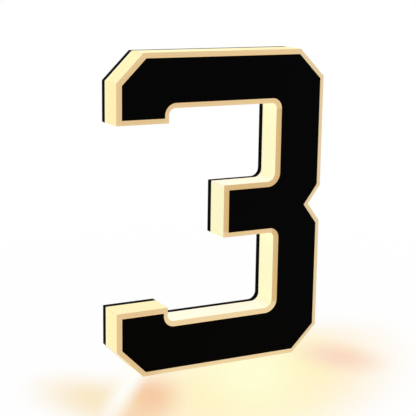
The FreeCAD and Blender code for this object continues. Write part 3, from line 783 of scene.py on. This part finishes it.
class SIGN_OT_small_metal(bpy.types.Operator):
    """Finish screws, inserts, washers and spacers"""

    bl_idname = "house_number.small_metal"
    bl_label = "Screws, inserts and spacers"

    def execute(self, context):
        colours = context.scene.piece_colours
        steel = metal_finish("stainless", colours.steel, roughness=0.24, ring_mm=0.35)
        brass = metal_finish("insert_brass", colours.brass, roughness=0.26, ring_mm=0.5)
        aluminium = metal_finish("spacer_aluminium", colours.aluminium, roughness=0.28, ring_mm=0.45)
        dress_nodes(steel, "back_screws", "stud_washers", "terminal_screws")
        dress_nodes(brass, "screw_inserts")
        dress_nodes(aluminium, "wall_spacers")
        return {"FINISHED"}


class SIGN_OT_studs(bpy.types.Operator):
    """Model the wall studs with their threads"""

    bl_idname = "house_number.studs"
    bl_label = "Threaded studs"

    def execute(self, context):
        sizes = context.scene.stud_sizes
        pitch, root, chamfer = sizes.pitch, STUD_RADIUS - sizes.thread_depth, sizes.tip_chamfer
        plate_y, end_y = PLATE_HIGH.y, STUD_HIGH.y
        head_radius = radius_at_stud(STUD_HIGH)
        neck, core_end, clear = root * 1.04, root * 0.98, STUD_RADIUS * 1.1
        core_short = 0.4 * MM
        core = turned((
            (STUD_LOW.y, head_radius),
            (STUD_LOW.y + head_radius - neck, neck),
            (plate_y, neck),
            (end_y - core_short, core_end),
        ))
        thread = self.thread(root, pitch, plate_y, end_y)
        envelope = turned((
            (plate_y - pitch, clear),
            (end_y - chamfer, clear),
            (end_y - chamfer, STUD_RADIUS),
            (end_y, STUD_RADIUS - chamfer),
        ), sides=48)
        cut(thread, "INTERSECT", envelope)
        studs = copies(join("stud", [core, thread]), "threaded_studs")
        dress(studs, metal_finish("stud_stainless", context.scene.piece_colours.steel, roughness=0.22))
        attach(studs, "root")
        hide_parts("wall_studs")
        return {"FINISHED"}

    def thread(self, root, pitch, start_y, end_y):
        """A ridge that climbs once round per pitch, cut off flat at both ends."""
        facets, spare_turns, lead_in = 24, 2, 1.5
        depth, rise, land = STUD_RADIUS - root, 0.42 * pitch, 0.12 * pitch
        merge_reach, plane_slack = 0.002 * MM, 0.0001 * MM

        turns = math.ceil((end_y - start_y) / pitch) + spare_turns
        deselect_all()
        bpy.ops.mesh.primitive_plane_add(size=pitch, location=(root, start_y - lead_in * pitch, 0.0))
        ridge = bpy.context.object
        settle()
        edit_all()
        bpy.ops.mesh.merge(type="CENTER")
        for out, along in [(depth, rise), (0.0, land), (-depth, pitch - rise - land)] * turns:
            bpy.ops.mesh.extrude_region_move(TRANSFORM_OT_translate={"value": (out, along, 0.0)})
        bpy.ops.object.mode_set(mode="OBJECT")
        turn = ridge.modifiers.new("Turn", "SCREW")
        turn.axis = "Y"
        turn.screw_offset = pitch
        turn.steps = turn.render_steps = facets
        turn.use_merge_vertices = False
        apply_modifiers(ridge)
        edit_all()
        bpy.ops.mesh.remove_doubles(threshold=merge_reach)
        for y, outer in ((start_y, False), (end_y, True)):
            bpy.ops.mesh.select_all(action="SELECT")
            bpy.ops.mesh.bisect(
                plane_co=(0.0, y, 0.0), plane_no=(0.0, 1.0, 0.0), use_fill=True,
                clear_outer=outer, clear_inner=not outer, threshold=plane_slack,
            )
        close_outwards()
        return ridge


class SIGN_OT_nuts(bpy.types.Operator):
    """Model the stud nuts with chamfered corners"""

    bl_idname = "house_number.nuts"
    bl_label = "Stud nuts"

    def execute(self, context):
        sides = 6
        flat_radius = radius_at_stud(NUT_HIGH)
        corner_radius = flat_radius / math.cos(math.pi / sides)
        drop = (corner_radius - flat_radius) * math.tan(context.scene.stud_sizes.nut_chamfer)
        low, high = NUT_LOW.y, NUT_HIGH.y
        face_radius, clear = flat_radius * 0.98, corner_radius * 1.01
        nut = turned(((low, corner_radius), (high, corner_radius)), sides)
        barrel = turned((
            (low, face_radius), (low + drop, clear), (high - drop, clear), (high, face_radius),
        ), sides=64)
        cut(nut, "INTERSECT", barrel)
        bore = turned(((low - drop, STUD_RADIUS), (high + drop, STUD_RADIUS)), sides=48)
        cut(nut, "DIFFERENCE", bore)
        nuts = copies(nut, "chamfered_nuts")
        dress(nuts, metal_finish("nut_stainless", context.scene.piece_colours.steel, roughness=0.22))
        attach(nuts, "root")
        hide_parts("stud_nuts")
        return {"FINISHED"}


class SIGN_OT_stage(bpy.types.Operator):
    """Set the pale floor with the sign's glow painted on it, the soft lamps and the camera"""

    bl_idname = "house_number.stage"
    bl_label = "Floor, lamps and camera"

    def execute(self, context):
        scene, stage = context.scene, context.scene.stage_settings
        self.floor(stage)
        self.lamps(scene, stage)
        scene.world = self.surroundings(stage)
        scene.camera = self.camera(scene, stage)
        scene.view_settings.view_transform = "Standard"
        return {"FINISHED"}

    def floor(self, stage):
        deselect_all()
        bpy.ops.mesh.primitive_plane_add(size=12.0, location=(0.0, 0.0, 0.0))
        floor = bpy.context.object
        floor.name = "floor"
        dress(floor, self.floor_finish(stage))

    def floor_finish(self, stage):
        """Pale floor, white to the camera, with the sign's light painted on it as warm patches."""
        paint, glow_full, glow_end = (0.86, 0.85, 0.82), 10.0 * MM, 70.0 * MM
        near, far, near_share, far_share = 0.2, 0.6, 0.985, 1.0

        shader = new_material("pale_floor")
        across, deep, _ = shader.place()
        in_front = deep.fall(glow_full, glow_end)
        # Painted light: warm patches of the sign's glow painted into the floor's colour.
        painted_floor_light = WHITE
        # centre and reach, across and deep in mm; how far it leans; colour
        for centre, reach, lean, colour in (
            ((7.0, -46.0), (138.0, 124.0), 0.64, stage.spread_glow),
            ((11.0, -33.0), (88.0, 144.0), 0.4, stage.core_glow),
            ((-73.0, -50.0), (35.0, 55.0), 0.51, stage.left_glow),
            ((78.0, -32.0), (34.0, 44.0), 0.0, stage.right_glow),
            ((-95.0, -33.0), (43.0, 66.0), -0.15, stage.edge_glow),
            ((-63.0, -12.0), (15.0, 114.0), 0.7, stage.corner_glow),
        ):
            patch = self.patch(across, deep, centre, reach, lean)
            painted_floor_light = shader.mix(patch * in_front, painted_floor_light, colour)
        rays = shader.node("ShaderNodeLightPath").outputs
        seen, mirrored, through = (
            Field(shader, rays[f"Is {kind} Ray"]) for kind in ("Camera", "Glossy", "Transmission")
        )
        seen = seen.higher_of(mirrored).higher_of(through)
        share = (across * across + deep * deep).root().rise(near, far, near_share, far_share)
        lit = shader.node("ShaderNodeBsdfDiffuse", inputs={"Color": opaque(paint)})
        return shader.show(shader.blend(seen * share, lit, shader.glow(painted_floor_light)))

    def patch(self, across, deep, centre, reach, lean):
        """1 at the centre, falling softly to 0 at its reach across and deep, in mm."""
        y = deep / MM - centre[1]
        x = across / MM - centre[0] - y * lean
        x, y = x / reach[0], y / reach[1]
        return (x * x + y * y).root().fall(0.0, 1.0)

    def lamps(self, scene, stage):
        """A large soft lamp above, weaker ones from the sides and one from behind."""
        middle = Vector((0.0, 0.0, HOUSING_HIGH.z / 2))
        # name, place and width in metres, share of the lamp power, colour
        for name, place, width, share, colour in (
            ("overhead_lamp", (0.1, -0.15, 1.2), 1.2, 0.95, (1.0, 0.985, 0.96)),
            ("left_lamp", (-1.0, -0.6, 0.6), 0.9, 0.08, (1.0, 0.99, 0.97)),
            ("right_lamp", (1.0, -0.7, 0.6), 0.9, 0.45, (1.0, 0.98, 0.95)),
            ("back_lamp", (0.2, 1.1, 0.8), 0.9, 0.5, (1.0, 0.99, 0.98)),
        ):
            data = bpy.data.lights.new(name, "AREA")
            data.shape = "SQUARE"
            data.size = width
            data.energy = stage.lamp_power * share
            data.color = colour
            lamp = bpy.data.objects.new(name, data)
            lamp.location = place
            lamp.rotation_euler = (middle - Vector(place)).to_track_quat("-Z", "Y").to_euler()
            scene.collection.objects.link(lamp)

    def surroundings(self, stage):
        """White surroundings for the camera, dimmer for everything that they light."""
        shader = Shader(bpy.data.worlds.new("surroundings"), "ShaderNodeOutputWorld")
        soft, white = (
            shader.node("ShaderNodeBackground", inputs={"Color": opaque(colour), "Strength": strength})
            for colour, strength in (((1.0, 0.99, 0.97), stage.sky), (WHITE, 1.0))
        )
        seen = shader.node("ShaderNodeLightPath").outputs["Is Camera Ray"]
        return shader.show(shader.blend(seen, soft, white))

    def camera(self, scene, stage):
        data = bpy.data.cameras.new("camera")
        data.sensor_width = 36.0
        data.lens = stage.camera_lens
        camera = bpy.data.objects.new("camera", data)
        camera.location = stage.camera_place
        camera.rotation_euler = stage.camera_turn
        scene.collection.objects.link(camera)
        return camera


class SIGN_PT_panel(bpy.types.Panel):
    """The sign's operators and their settings"""

    bl_idname = "SIGN_PT_panel"
    bl_label = "House number"
    bl_space_type = "VIEW_3D"
    bl_region_type = "UI"
    bl_category = "House number"

    def draw(self, context):
        for operator in OPERATORS:
            self.layout.operator(operator.bl_idname)
        for name, group in GROUPS.items():
            box = self.layout.box()
            for setting in group.__annotations__:
                box.prop(getattr(context.scene, name), setting)


GROUPS = {
    "sign_colours": SignColours,
    "figure_edges": FigureEdges,
    "piece_colours": PieceColours,
    "stud_sizes": StudSizes,
    "stage_settings": StageSettings,
}
OPERATORS = (
    SIGN_OT_housing,
    SIGN_OT_black_sheets,
    SIGN_OT_rubber,
    SIGN_OT_light_engine,
    SIGN_OT_small_metal,
    SIGN_OT_studs,
    SIGN_OT_nuts,
    SIGN_OT_stage,
)


def register():
    for name, group in GROUPS.items():
        bpy.utils.register_class(group)
        setattr(bpy.types.Scene, name, bpy.props.PointerProperty(type=group))
    for operator in OPERATORS:
        bpy.utils.register_class(operator)
    bpy.utils.register_class(SIGN_PT_panel)


def unregister():
    bpy.utils.unregister_class(SIGN_PT_panel)
    for operator in reversed(OPERATORS):
        bpy.utils.unregister_class(operator)
    for name, group in GROUPS.items():
        delattr(bpy.types.Scene, name)
        bpy.utils.unregister_class(group)


def main():
    register()
    for operator in OPERATORS:
        family, action = operator.bl_idname.split(".")
        getattr(getattr(bpy.ops, family), action)()


if __name__ == "__main__":
    main()
